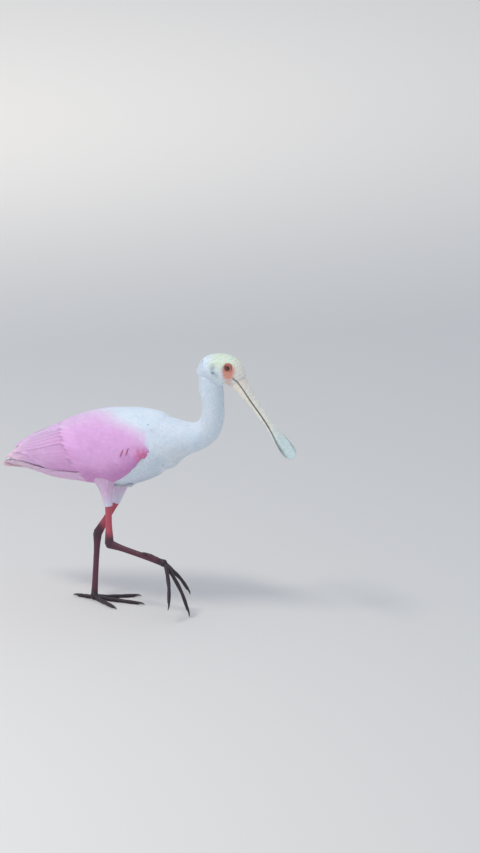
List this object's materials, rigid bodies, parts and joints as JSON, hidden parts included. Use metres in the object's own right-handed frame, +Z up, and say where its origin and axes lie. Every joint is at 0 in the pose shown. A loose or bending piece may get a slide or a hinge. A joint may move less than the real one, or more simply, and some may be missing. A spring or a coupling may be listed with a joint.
{
  "type": "roseate spoonbill",
  "caption": "Life-size roseate spoonbill wading on one leg, the other lifted forward, long spoon-ended bill held low, wings folded.",
  "frame": {"origin": "on the floor, at the middle of the flat under the standing (left) foot", "axes": "+X is the way the bird faces, +Y is its left, +Z is up"},
  "size_m": [0.512, 0.142, 0.4304],
  "materials": {
    "white_plumage": "soft white contour feathers",
    "pink_plumage": "soft rose-pink vanes",
    "tail_plumage": "pale buff-pink vanes",
    "bare_head": "bare pale green skin, finely wrinkled",
    "bill_horn": "matt grey-green horn",
    "eye": "wet red iris and black pupil",
    "red_skin": "scaly red leg skin",
    "dark_skin": "scaly dark maroon leg skin",
    "black_skin": "scaly black toe skin",
    "claw_horn": "smooth black horn"
  },
  "bodies": {
    "root": {"bill_lower": "bill_horn", "bill_upper": "bill_horn", "claw_left_hind": "claw_horn", "claw_left_inner": "claw_horn", "claw_left_middle": "claw_horn", "claw_left_outer": "claw_horn", "claw_right_hind": "claw_horn", "claw_right_inner": "claw_horn", "claw_right_middle": "claw_horn", "claw_right_outer": "claw_horn", "eye_left": "eye", "eye_right": "eye", "head": "bare_head", "neck_lower": "white_plumage", "neck_upper": "white_plumage", "shank_left": "red_skin", "shank_right": "red_skin", "tail": "tail_plumage", "tarsus_left": "dark_skin", "tarsus_right": "dark_skin", "thigh_left": "pink_plumage", "thigh_right": "pink_plumage", "toe_left_hind": "black_skin", "toe_left_inner": "black_skin", "toe_left_middle": "black_skin", "toe_left_outer": "black_skin", "toe_right_hind": "black_skin", "toe_right_inner": "black_skin", "toe_right_middle": "black_skin", "toe_right_outer": "black_skin", "torso": "white_plumage", "wing_left": "pink_plumage", "wing_right": "pink_plumage"}
  },
  "joints": []
}
